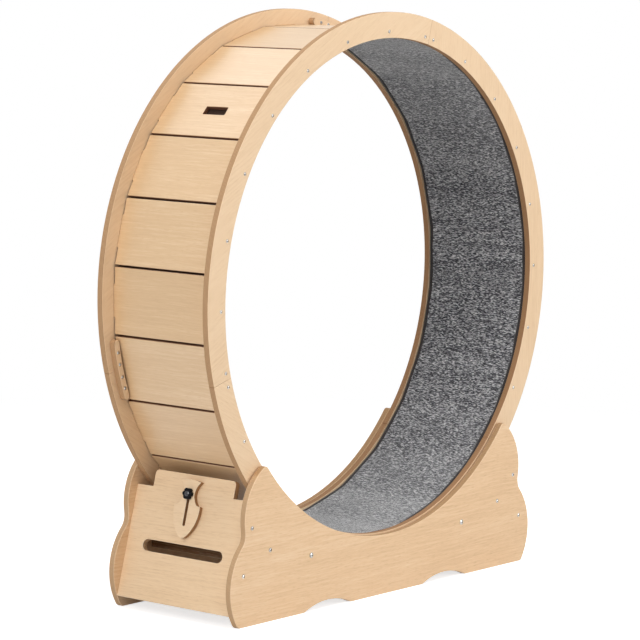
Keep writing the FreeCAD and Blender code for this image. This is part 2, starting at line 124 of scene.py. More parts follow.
class Recipe:
    """The nodes of a material or a world, added one after the other."""

    def __init__(self, name: str, kind: str = "materials") -> None:
        """Start with no nodes.

        Args:
            name: The material's or the world's name.
            kind: Where Blender keeps it, materials or worlds.
        """
        self.owner = getattr(bpy.data, kind).new(name)
        self.owner.use_nodes = True
        self.tree = self.owner.node_tree
        self.tree.nodes.clear()
        coordinates = self.node("TexCoord").outputs
        self.place = coordinates["Object"]
        self.normal = coordinates["Normal"]

    def node(self, kind: str, inputs: dict | None = None, **settings: object) -> bpy.types.Node:
        """Add a node.

        Args:
            kind: The shader node's kind.
            inputs: What its sockets take: a number, a colour or another node's output.
            settings: The node's own settings.

        Returns:
            The node.
        """
        made = self.tree.nodes.new("ShaderNode" + kind)
        for key, value in settings.items():
            setattr(made, key, value)
        for key, value in (inputs or {}).items():
            if isinstance(value, Socket):
                self.tree.links.new(value, made.inputs[key])
            else:
                made.inputs[key].default_value = value
        return made

    def sum(self, operation: str, *values: object, clamp: bool = False) -> Socket:
        """Work out one number from up to three numbers or outputs."""
        return self.node("Math", dict(enumerate(values)), operation=operation, use_clamp=clamp).outputs[0]

    def total(self, start: float, *shares: tuple[Socket, float]) -> Socket:
        """A start value and a share of each output."""
        return reduce(lambda result, share: self.sum("MULTIPLY_ADD", *share, result), shares, start)

    def along(self, direction: Vector, place: Socket | None = None) -> Socket:
        """How far a place lies in a direction."""
        inputs = {0: place or self.place, 1: tuple(direction)}
        return self.node("VectorMath", inputs, operation="DOT_PRODUCT").outputs["Value"]

    def joined(self, x: object, y: object, z: object) -> Socket:
        """A place from its three numbers."""
        return self.node("CombineXYZ", {0: x, 1: y, 2: z}).outputs[0]

    def stretched(self, place: Socket, scale: Sequence[float]) -> Socket:
        """A place with each number multiplied."""
        inputs = {0: place, 1: tuple(scale)}
        return self.node("VectorMath", inputs, operation="MULTIPLY").outputs[0]

    def cloud(self, place: Socket, scale: float = 1.0, detail: float = 2.0, roughness: float = 0.5) -> Socket:
        """A soft random pattern, mostly near 0.5, with the given detail and strength of finer patterns."""
        inputs = {"Vector": place, "Scale": scale, "Detail": detail, "Roughness": roughness}
        return self.node("TexNoise", inputs).outputs[0]

    def between(self, value: Socket, low: float, high: float, start: float = 0.0, end: float = 1.0) -> Socket:
        """Move a number smoothly from one range to another."""
        inputs = {"Value": value, "From Min": low, "From Max": high, "To Min": start, "To Max": end}
        return self.node("MapRange", inputs, interpolation_type="SMOOTHSTEP").outputs[0]

    def blend(self, factor: object, first: object, second: object, kind: str = "MIX") -> Socket:
        """Mix two colours, where the factor is how much of the second counts."""
        inputs = {0: factor, 6: first, 7: second}
        return self.node("Mix", inputs, data_type="RGBA", blend_type=kind).outputs[2]

    def steps(self, value: Socket, *stops: tuple[float, Colour]) -> Socket:
        """A colour that runs through the given stops.

        Args:
            value: A number from 0 to 1.
            stops: The number at which each colour is reached, and the colour.

        Returns:
            The colour.
        """
        ramp = self.node("ValToRGB", {0: value})
        ramp_stops = ramp.color_ramp.elements
        while len(ramp_stops) < len(stops):
            ramp_stops.new(0.5)
        for stop, (position, colour) in zip(ramp_stops, stops):
            stop.position = position
            stop.color = colour
        return ramp.outputs[0]

    def bump(self, height: Socket, depth: float, strength: float = 1.0) -> Socket:
        """Surface relief from a height pattern, where a height of 1 stands out by the depth."""
        inputs = {"Height": height, "Distance": depth, "Strength": strength}
        return self.node("Bump", inputs).outputs[0]

    def surface(self, **inputs: object) -> bpy.types.Material:
        """Finish the material with one shader.

        Args:
            inputs: What the shader's sockets take, with underscores for the spaces in their names.

        Returns:
            The finished material.
        """
        named = {key.replace("_", " "): value for key, value in inputs.items()}
        shader = self.node("BsdfPrincipled", named)
        self.node("OutputMaterial", {"Surface": shader.outputs[0]})
        return self.owner

    def seen(self) -> Socket:
        """What tells the camera's sight from light on a surface.

        Returns:
            1 for what the camera sees, straight, in a gloss or through glass, and else 0.
        """
        rays = self.node("LightPath").outputs
        either = self.sum("MAXIMUM", rays["Is Camera Ray"], rays["Is Glossy Ray"])
        return self.sum("MAXIMUM", either, rays["Is Transmission Ray"])


@dataclass(frozen=True)
class Board:
    """A packed board: how it lies and what it is made of."""

    node: str
    along: Vector  # the way its grain runs
    facing: Vector  # the way its faces look
    thickness: float
    plies: int
    seed: float

    def bottom(self) -> float:
        """Where its lower face lies along its facing."""
        return min(place.dot(self.facing) for place in corners(self.node))


@dataclass(frozen=True)
class WoodFinish:
    """Pale satin plywood: fine wavy grain on the faces, and browner layered edges."""

    face: Colour = srgb(233, 202, 165)
    dark_line: Colour = srgb(206, 168, 126)
    light_line: Colour = srgb(246, 221, 190)
    pale_ply: Colour = srgb(212, 176, 137)
    dark_ply: Colour = srgb(178, 142, 104)
    figure_pitch: float = 0.0075  # between two lines of the figure
    strength: float = 1.0  # how strongly the grain shows
    face_roughness: float = 0.46
    edge_roughness: float = 0.72
    relief: float = 0.00012
    # partly a paler sanded edge and partly painted highlight on the rounded edge
    pale_arris_highlight: Colour = srgb(255, 238, 212)  # the paler line along a sanded edge
    arris_highlight_share: float = 0.35
    edge_squareness: tuple[float, float] = (0.14, 0.26)  # where the edge's colour gives way to the face's
    shine: float = 0.4
    coat: float = 0.0

    def grain(self, recipe: Recipe, board: Board) -> tuple[Socket, Socket]:
        """The tone of a board's face.

        Args:
            recipe: The material that takes the nodes.
            board: The board.

        Returns:
            The tone, from 0 dark to 1 light, and the fine fibre pattern by itself.
        """
        run = recipe.along(board.along)
        across = recipe.along(board.facing.cross(board.along))
        through = recipe.total(board.seed, (recipe.along(board.facing), 1.0))
        place = recipe.joined(run, across, through)
        wander = recipe.cloud(recipe.stretched(place, (1.6, 5.0, 1.0)), detail=2.0)
        waver = recipe.cloud(recipe.stretched(place, (8.0, 14.0, 1.0)), detail=1.0)
        drift = recipe.total(-0.0135, (across, 1.0), (wander, 0.022), (waver, 0.005))
        ways = recipe.joined(run, drift, through)
        growth = recipe.cloud(recipe.stretched(ways, (2.2, 62.0, 5.0)), detail=3.0)
        streak = recipe.cloud(recipe.stretched(ways, (15.0, 330.0, 40.0)), detail=2.0)
        lag = recipe.cloud(recipe.stretched(place, (4.0, 16.0, 1.0)), detail=2.0)
        turns = recipe.total(0.0, (drift, 2 * math.pi / self.figure_pitch), (lag, 22.0))
        wave = recipe.total(0.5, (recipe.sum("SINE", turns), 0.5))
        figure = recipe.sum("MULTIPLY", recipe.sum("POWER", wave, 3.0), recipe.between(lag, 0.35, 0.65))
        fibre = recipe.cloud(recipe.stretched(ways, (45.0, 1250.0, 90.0)), detail=2.0)
        pores = recipe.cloud(recipe.stretched(ways, (75.0, 900.0, 90.0)), detail=0.0)
        dashes = recipe.between(pores, 0.60, 0.74)
        blotch = recipe.cloud(place, scale=3.5, detail=1.0)
        marks = ((growth, 0.34), (streak, 0.50), (fibre, 0.46))
        marks += ((figure, -0.10), (blotch, 0.24), (dashes, -0.16))
        shares = [(mark, share * self.strength) for mark, share in marks]
        tone = recipe.total(0.5 - 0.76 * self.strength, *shares)
        return tone, recipe.total(0.0, (fibre, 1.0), (dashes, -0.8))

    def edge(self, recipe: Recipe, board: Board) -> Socket:
        """The colour of a board's cut edge.

        Args:
            recipe: The material that takes the nodes.
            board: The board.

        Returns:
            The layered colour.
        """
        ply = board.thickness / board.plies
        depth = recipe.total(-board.bottom() / ply, (recipe.along(board.facing), 1 / ply))
        ripple = recipe.cloud(recipe.place, scale=90.0, detail=2.0)
        layer = recipe.sum("PINGPONG", recipe.total(-0.08, (depth, 1.0), (ripple, 0.16)), 1.0)
        speck = recipe.cloud(recipe.place, scale=650.0, detail=2.0)
        tone = recipe.total(-0.28, (recipe.between(layer, 0.25, 0.75), 0.9), (speck, 0.65))
        return recipe.blend(recipe.sum("ADD", tone, 0.0, clamp=True), self.pale_ply, self.dark_ply)

    def material(self, board: Board) -> bpy.types.Material:
        """The finish of one board.

        Args:
            board: The board.

        Returns:
            The material.
        """
        recipe = Recipe("wood_" + board.node)
        tone, fibre = self.grain(recipe, board)
        stops = ((0.0, self.dark_line), (0.5, self.face), (1.0, self.light_line))
        face_colour = recipe.steps(tone, *stops)
        squareness = recipe.sum("ABSOLUTE", recipe.along(board.facing, recipe.normal))
        on_face = recipe.between(squareness, *self.edge_squareness)
        # painted highlight, partly a paler sanded edge: the rounded edge gets a paler colour
        on_arris_highlight = recipe.between(squareness, 0.6, 0.995, self.arris_highlight_share, 0.0)
        colour = recipe.blend(on_arris_highlight, face_colour, self.pale_arris_highlight)
        colour = recipe.blend(on_face, self.edge(recipe, board), colour)
        roughness = recipe.between(on_face, 0.0, 1.0, self.edge_roughness, self.face_roughness)
        return recipe.surface(
            Base_Color=colour,
            Roughness=roughness,
            Specular_IOR_Level=self.shine,
            Coat_Weight=self.coat,
            Coat_Roughness=0.34,
            Normal=recipe.bump(fibre, self.relief, 0.6),
        )


@dataclass(frozen=True)
class InnerShadeFinish(WoodFinish):
    """Plywood whose edges near the drum's axis are painted darker than the outer ones, as painted shade."""

    # painted shade, multiplied into the cut edges near the drum's axis
    inner_painted_shade: Colour = srgb(228, 216, 204)
    inner_reach: float = 0.47

    def edge(self, recipe: Recipe, board: Board) -> Socket:
        """The colour of a cut edge, with painted shade on the inside.

        Args:
            recipe: The material that takes the nodes.
            board: The board.

        Returns:
            The layered colour.
        """
        layers = super().edge(recipe, board)
        offset = recipe.node("VectorMath", {0: recipe.place, 1: tuple(HUB)}, operation="SUBTRACT").outputs[0]
        flat = recipe.stretched(offset, (1.0, 0.0, 1.0))
        reach = recipe.node("VectorMath", {0: flat}, operation="LENGTH").outputs["Value"]
        # painted shade: edges nearer the axis than the reach are multiplied darker
        inside = recipe.between(reach, self.inner_reach, self.inner_reach + 0.006, 1.0, 0.0)
        return recipe.blend(inside, layers, self.inner_painted_shade, "MULTIPLY")


@dataclass(frozen=True)
class CarpetFinish:
    """Short looped carpet in mixed greys, its loops drawn out a little across the band."""

    greys: tuple[tuple[float, Colour], ...] = (
        (0.00, srgb(44, 44, 49)),
        (0.28, srgb(68, 68, 74)),
        (0.50, srgb(111, 111, 116)),
        (0.72, srgb(172, 172, 175)),
        (1.00, srgb(232, 231, 231)),
    )
    loops_per_metre: float = 980.0
    draw: float = 0.20
    relief: float = 0.0009

    def material(self, name: str) -> bpy.types.Material:
        """The finish of the pile.

        Args:
            name: The material's name.

        Returns:
            The material.
        """
        recipe = Recipe(name)
        drawn = recipe.stretched(recipe.place, (1.0, self.draw, 1.0))
        loops = recipe.node("TexVoronoi", {"Vector": drawn, "Scale": self.loops_per_metre})
        chance = recipe.node("SeparateColor", {0: loops.outputs["Color"]}).outputs[0]
        fleck = recipe.cloud(drawn, scale=900.0, detail=1.0)
        tuft = recipe.cloud(drawn, scale=880.0, detail=1.0, roughness=0.6)
        streak = recipe.cloud(recipe.stretched(recipe.place, (26.0, 4.0, 26.0)), detail=3.0)
        tone = recipe.total(-1.05, (chance, 1.25), (fleck, 0.30), (streak, 0.42), (tuft, 1.10))
        colour = recipe.steps(tone, *self.greys)
        # painted shade: the colour is multiplied darker in the gaps between the loops
        loop_gap_shade = recipe.between(loops.outputs["Distance"], 0.35, 0.85, 1.0, 0.45)
        shade = recipe.blend(1.0, colour, recipe.joined(loop_gap_shade, loop_gap_shade, loop_gap_shade), "MULTIPLY")
        height = recipe.total(1.0, (loops.outputs["Distance"], -1.0), (fleck, 0.35))
        return recipe.surface(
            Base_Color=shade,
            Roughness=0.95,
            Specular_IOR_Level=0.15,
            Sheen_Weight=0.95,
            Sheen_Roughness=0.45,
            Normal=recipe.bump(height, self.relief),
        )


@dataclass(frozen=True)
class YarnFinish:
    """Dark overlock yarn."""

    yarn: Colour = srgb(44, 40, 40)
    worn: Colour = srgb(72, 66, 64)

    def material(self, name: str) -> bpy.types.Material:
        """The finish of a stitched edge or a carpet's back.

        Args:
            name: The material's name.

        Returns:
            The material.
        """
        recipe = Recipe(name)
        fuzz = recipe.cloud(recipe.place, scale=1400.0, detail=2.0)
        patch = recipe.cloud(recipe.place, scale=60.0, detail=2.0)
        colour = recipe.blend(recipe.total(-0.5, (fuzz, 1.1), (patch, 0.8)), self.yarn, self.worn)
        return recipe.surface(
            Base_Color=colour,
            Roughness=0.9,
            Specular_IOR_Level=0.2,
            Sheen_Weight=0.25,
            Normal=recipe.bump(fuzz, 0.0003),
        )


@dataclass(frozen=True)
class PlasticFinish:
    """Moulded plastic with a faint mottle."""

    tone: Colour
    shade: Colour
    roughness: float
    shine: float = 0.5
    metallic: float = 0.0
    mottle: float = 180.0  # how fine it is
    patches: tuple[float, float] = (0.3, 0.7)  # where in it the tone gives way to the shade
    spread: tuple[float, float] = (0.04, 0.06)  # how far the roughness falls and rises with it
    grit: float = 3200.0
    relief: float = 0.00002
    relief_strength: float = 0.5

    def material(self, name: str) -> bpy.types.Material:
        """The finish of a small hard piece.

        Args:
            name: The material's name.

        Returns:
            The material.
        """
        recipe = Recipe(name)
        mottle = recipe.cloud(recipe.place, scale=self.mottle, detail=3.0)
        grit = recipe.cloud(recipe.place, scale=self.grit, detail=1.0)
        fall, rise = self.spread
        return recipe.surface(
            Base_Color=recipe.blend(recipe.between(mottle, *self.patches), self.tone, self.shade),
            Metallic=self.metallic,
            Roughness=recipe.between(mottle, 0.3, 0.7, self.roughness - fall, self.roughness + rise),
            Specular_IOR_Level=self.shine,
            Normal=recipe.bump(grit, self.relief, self.relief_strength),
        )


@dataclass(frozen=True)
class MetalFinish(PlasticFinish):
    """Bright zinc-plated steel."""

    tone: Colour = srgb(208, 205, 200)
    shade: Colour = srgb(150, 148, 145)
    roughness: float = 0.2
    metallic: float = 1.0
    mottle: float = 260.0
    patches: tuple[float, float] = (0.35, 0.7)
    spread: tuple[float, float] = (0.06, 0.1)
    grit: float = 2600.0
    relief: float = 0.00003
    relief_strength: float = 1.0


# --- Shapes ---


class Shape:
    """Corners and faces that are gathered into one piece."""

    def __init__(self) -> None:
        """Start with nothing."""
        self.places: list[Vector] = []
        self.faces: list[tuple[int, ...]] = []

    def add(self, places: Iterable[Vector], faces: Iterable[Sequence[int]], matrix: Matrix) -> None:
        """Add a set of corners and faces.

        Args:
            places: The corners.
            faces: The faces, by the numbers of these corners.
            matrix: Where they go.
        """
        start = len(self.places)
        self.places += [matrix @ place for place in places]
        self.faces += [tuple(start + corner for corner in face) for face in faces]

    def rows(self, rows: Sequence[Sequence[Vector]], closed: bool, matrix: Matrix = HERE) -> None:
        """Add a surface through rows of places, each of which runs back to its own start.

        Args:
            rows: The rows, all of the same length.
            closed: Whether the last row runs back to the first.
            matrix: Where they go.
        """
        wide = len(rows[0])
        faces = []
        for row in range(len(rows) if closed else len(rows) - 1):
            here, there = row * wide, (row + 1) % len(rows) * wide
            for step in range(wide):
                after = (step + 1) % wide
                faces.append((here + step, here + after, there + after, there + step))
        self.add([place for row in rows for place in row], faces, matrix)

    def lathe(self, outline: Outline, sides: int, matrix: Matrix = HERE, closed: bool = False) -> None:
        """Add a turned shape about its own Z.

        Args:
            outline: The reach and height of each step. It starts and ends on the axis unless it is closed.
            sides: How many sides it has.
            matrix: Where it goes.
            closed: Whether the outline runs back to its start, as on a ring.
        """
        rows = [round_row(reach, z, sides) for reach, z in (outline if closed else outline[1:-1])]
        first = len(self.places)
        self.rows(rows, closed, matrix)
        if not closed:
            last = first + (len(rows) - 1) * sides
            self.places += [matrix @ Vector((0, 0, outline[end][1])) for end in (0, -1)]
            low, high = len(self.places) - 2, len(self.places) - 1
            for side in range(sides):
                after = (side + 1) % sides
                self.faces += [(low, first + after, first + side), (high, last + side, last + after)]

    def piece(self, name: str, crease: float = 40.0) -> bpy.types.Object:
        """Make the piece, smooth between its creases.

        Args:
            name: The piece's name.
            crease: Edges that turn by more degrees than this stay sharp.

        Returns:
            The piece, in the scene.
        """
        mesh = bpy.data.meshes.new(name)
        mesh.from_pydata(self.places, [], self.faces)
        mesh.update()
        mesh.shade_smooth()
        mesh.set_sharp_from_angle(angle=math.radians(crease))
        piece = bpy.data.objects.new(name, mesh)
        bpy.context.scene.collection.objects.link(piece)
        return piece


def turned(place: Vector, out: Vector, spin: float = 0.0) -> Matrix:
    """Where a shape made about its own Z goes: its origin, where its Z points, and its spin in radians."""
    aim = out.to_track_quat("Z", "Y").to_matrix().to_4x4()
    return Matrix.Translation(place) @ aim @ Matrix.Rotation(spin, 4, "Z")


def round_row(reach: Reach, z: float, sides: int) -> list[Vector]:
    """A row of places round the Z axis.

    Args:
        reach: How far they lie from it.
        z: How high they lie.
        sides: How many there are.

    Returns:
        The places.
    """
    turns = [2 * math.pi * side / sides for side in range(sides)]
    reaches = [reach(turn) if callable(reach) else reach for turn in turns]
    return [Vector((r * math.cos(t), r * math.sin(t), z)) for r, t in zip(reaches, turns)]


def arc_points(centre: tuple[float, float], radius: float, start: float, end: float, steps: int) -> Outline:
    """Points along an arc between two angles, in degrees, with the given number of runs between them."""
    angles = [math.radians(start + (end - start) * step / steps) for step in range(steps + 1)]
    return [(centre[0] + radius * math.cos(angle), centre[1] + radius * math.sin(angle)) for angle in angles]


def dome(radius: float, rim: float, height: float, steps: int) -> Outline:
    """The outline of a low dome.

    Args:
        radius: Its radius.
        rim: The height at which it starts.
        height: The height of its middle, where it ends.
        steps: How many runs it has.

    Returns:
        The points.
    """
    rise = height - rim
    bulge = (radius**2 + rise**2) / (2 * rise)
    start = 90 - math.degrees(math.asin(radius / bulge))
    return arc_points((0.0, height - bulge), bulge, start, 90, steps)


def carved(blank: Shape, cutter: Shape) -> Shape:
    """Cut one closed shape out of another.

    Args:
        blank: What is cut.
        cutter: What is taken away.

    Returns:
        What is left.
    """
    body, tool = blank.piece("blank"), cutter.piece("cutter")
    cut = body.modifiers.new("cut", "BOOLEAN")
    cut.object = tool
    cut.operation = "DIFFERENCE"
    cut.solver = "EXACT"
    mesh = bpy.data.meshes.new_from_object(body.evaluated_get(bpy.context.evaluated_depsgraph_get()))
    for spare in (body, tool):
        bpy.data.objects.remove(spare)
    left = Shape()
    left.add([vertex.co for vertex in mesh.vertices], [tuple(face.vertices) for face in mesh.polygons], HERE)
    return left


def fit(piece: bpy.types.Object, body: str, slot: str, finish: bpy.types.Material, *nodes: str) -> None:
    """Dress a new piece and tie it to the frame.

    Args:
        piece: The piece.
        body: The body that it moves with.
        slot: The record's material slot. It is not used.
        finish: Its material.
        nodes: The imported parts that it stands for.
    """
    piece.data.materials.append(finish)
    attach(piece, body)
    if nodes:
        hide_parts(*nodes)
    log.info("%s: %d faces on %s", piece.name, len(piece.data.polygons), body)


@dataclass(frozen=True)
class Seat:
    """Where a small round part of the frame sits: the middle of its inner end, its axis and its size."""

    place: Vector
    out: Vector
    radius: float
    height: float


def seats(node: str) -> list[Seat]:
    """The separate solids of a node whose parts stand along Y.

    Args:
        node: The node's name.

    Returns:
        One seat for each solid, at its end nearer to the middle plane.
    """
    mesh = frame["nodes"][node].data
    key = [tuple(round(value, 6) for value in vertex.co) for vertex in mesh.vertices]
    group = {place: {place} for place in key}
    for face in mesh.polygons:
        first = group[key[face.vertices[0]]]
        for corner in face.vertices[1:]:
            other = group[key[corner]]
            if other is not first:
                first |= other
                for place in other:
                    group[place] = first
    found = []
    for places in {id(places): places for places in group.values()}.values():
        low, high = (Vector([end(values) for values in zip(*places)]) for end in (min, max))
        middle = (low + high) / 2
        side = math.copysign(1, middle.y)
        inner, outer = sorted((abs(low.y), abs(high.y)))
        place = Vector((middle.x, side * inner, middle.z))
        found.append(Seat(place, DRUM_AXIS * side, (high.x - low.x) / 2, outer - inner))
    return sorted(found, key=lambda seat: tuple(seat.place))


# --- Boards ---


@dataclass(frozen=True)
class Joinery:
    """Dresses packed boards: rounded edges, and a plywood finish with each board's own grain."""

    finish: WoodFinish
    radius: float = 0.0012  # of the small round along the edges
    segments: int = 3
    crease: float = 30.0
    holed: bool = False  # whether the faces have holes, and so are cut into triangles first

    def weld(self) -> bpy.types.NodeTree:
        """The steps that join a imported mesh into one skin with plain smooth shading.

        Returns:
            The nodes, which all boards share.
        """
        tree = bpy.data.node_groups.get("weld_board")
        if tree:
            return tree
        tree = bpy.data.node_groups.new("weld_board", "GeometryNodeTree")
        for way in ("INPUT", "OUTPUT"):
            tree.interface.new_socket("Geometry", in_out=way, socket_type="NodeSocketGeometry")
        chain = [tree.nodes.new("NodeGroupInput"), tree.nodes.new("GeometryNodeMergeByDistance")]
        chain[-1].inputs["Distance"].default_value = 1e-6
        for stale in ("custom_normal", "sharp_edge", "sharp_face"):
            chain.append(tree.nodes.new("GeometryNodeRemoveAttribute"))
            chain[-1].inputs["Name"].default_value = stale
        chain += [tree.nodes.new("GeometryNodeSetShadeSmooth"), tree.nodes.new("NodeGroupOutput")]
        for first, second in zip(chain, chain[1:]):
            tree.links.new(first.outputs[0], second.inputs[0])
        return tree

    def round_edges(self, board: bpy.types.Object) -> None:
        """Round the edges of a packed board.

        Args:
            board: The board's object.
        """
        board.modifiers.new("weld", "NODES").node_group = self.weld()
        flat = board.modifiers.new("flat", "DECIMATE")
        flat.decimate_type = "DISSOLVE"
        flat.angle_limit = math.radians(0.4)
        if self.holed:
            board.modifiers.new("cut", "TRIANGULATE").min_vertices = 5
        bevel = board.modifiers.new("round", "BEVEL")
        bevel.width = self.radius
        bevel.segments = self.segments
        bevel.limit_method = "ANGLE"
        bevel.angle_limit = math.radians(self.crease)
        bevel.use_clamp_overlap = False
        bevel.miter_outer = "MITER_ARC"
        even = board.modifiers.new("even", "WEIGHTED_NORMAL")
        even.keep_sharp = False
        even.weight = 100

    def dress(self, board: Board) -> None:
        """Finish one board.

        Args:
            board: The board.
        """
        part = frame["nodes"][board.node]
        part.data.materials.clear()
        part.data.materials.append(self.finish.material(board))
        self.round_edges(part)
        log.info("%s: dressed as a board", board.node)


# --- Fasteners ---


@dataclass(frozen=True)
class PanHead:
    """A low domed screw head with a cross recess."""

    sides: int = 28
    foot_share: float = 0.97  # of the head's radius
    recess_share: float = 0.62
    arm_share: float = 0.21
    rim_share: float = 0.28  # of its height
    recess_depth_share: float = 0.8
    taper: tuple[float, float] = (0.72, 1.06)  # the recess's size at its floor and above the head

    def head(self, radius: float, height: float) -> Shape:
        """One head with its recess, about its own Z.

        Args:
            radius: The head's radius.
            height: How far it stands out.

        Returns:
            The head.
        """
        blank = Shape()
        foot = [(0.0, 0.0), (radius * self.foot_share, 0.0), (radius, 0.05 * height)]
        blank.lathe([*foot, *dome(radius, self.rim_share * height, height, 9)], self.sides)
        reach, arm = radius * self.recess_share, radius * self.arm_share
        plus = [(reach, -arm), (reach, arm), (arm, arm), (arm, reach), (-arm, reach), (-arm, arm)]
        plus += [(-x, -y) for x, y in plus]
        levels = zip(self.taper, (height * (1 - self.recess_depth_share), height * 1.2))
        cutter = Shape()
        cutter.rows([[Vector((x * share, y * share, z)) for x, y in plus] for share, z in levels], False)
        cutter.faces += [tuple(reversed(range(12))), tuple(range(12, 24))]
        return carved(blank, cutter)

    def group(self, name: str, places: list[Seat], turn: float) -> bpy.types.Object:
        """All the heads of one node as one piece.

        Args:
            name: The piece's name.
            places: Where they sit. They are all of one size.
            turn: How far each cross is turned from the one before, in radians.

        Returns:
            The piece.
        """
        head = self.head(places[0].radius, places[0].height)
        heads = Shape()
        for index, seat in enumerate(places):
            heads.add(head.places, head.faces, turned(seat.place, seat.out, index * turn))
        return heads.piece(name, 32.0)


# --- Drum ---


@dataclass
class Drum:
    """The two rings, the slats between them, the splice plates and their screws."""

    ring_joinery: Joinery
    slat_joinery: Joinery
    metal: bpy.types.Material
    ring_board: float = 0.012
    slat_board: float = 0.009
    ring_plies: int = 9
    slat_plies: int = 7
    ring_grain_lean: float = math.radians(73.9)  # from a segment's middle to its grain
    ring_seat: float = 0.128  # where the rings' screws sit, from the middle plane
    splice_seat: float = 0.104
    screw_turn: float = 2.4

    def rings(self) -> None:
        """Dress the ring segments, each cut from its own sheet, and their splice plates."""
        sheet = (self.ring_board, self.ring_plies)
        for side, shift in (("left", 0.6), ("right", 0.0)):
            for number in (1, 2, 3):
                node = f"ring_{side}_{number}"
                grain = radial(turn_of(node) + self.ring_grain_lean)
                self.ring_joinery.dress(Board(node, grain, DRUM_AXIS, *sheet, number * 1.7 + shift))
            self.ring_joinery.dress(Board("splice_plates_" + side, UP, DRUM_AXIS, *sheet, 9.3))

    def slats(self) -> None:
        """Dress the slats, with their grain across the drum."""
        sheet = (self.slat_board, self.slat_plies)
        for node in SLATS:
            board = Board(node, DRUM_AXIS, radial(turn_of(node)), *sheet, 2.13 * int(node[-2:]))
            self.slat_joinery.dress(board)

    def screws(self) -> None:
        """Put domed cross-head screws on the rings' outer faces, and on the splice plates in the channel."""
        for node, face, way in (("ring_screws", self.ring_seat, 1), ("splice_screws", self.splice_seat, -1)):
            places = []
            for seat in seats(node):
                place = Vector((seat.place.x, math.copysign(face, seat.place.y), seat.place.z))
                places.append(Seat(place, seat.out * way, seat.radius, seat.height))
            fit(PanHead().group(node + "_heads", places, self.screw_turn), "wheel", "steel", self.metal, node)

    def build(self) -> None:
        """Dress the drum."""
        self.rings()
        self.slats()
        self.screws()


# --- Carpet ---


@dataclass(frozen=True)
class Crease:
    """A small buckle that runs in from one edge of the carpet."""

    angle: float  # about the drum's axis, in degrees
    side: int  # the edge that it starts from: -1 right, 1 left
    reach: float
    width: float
    lift: float


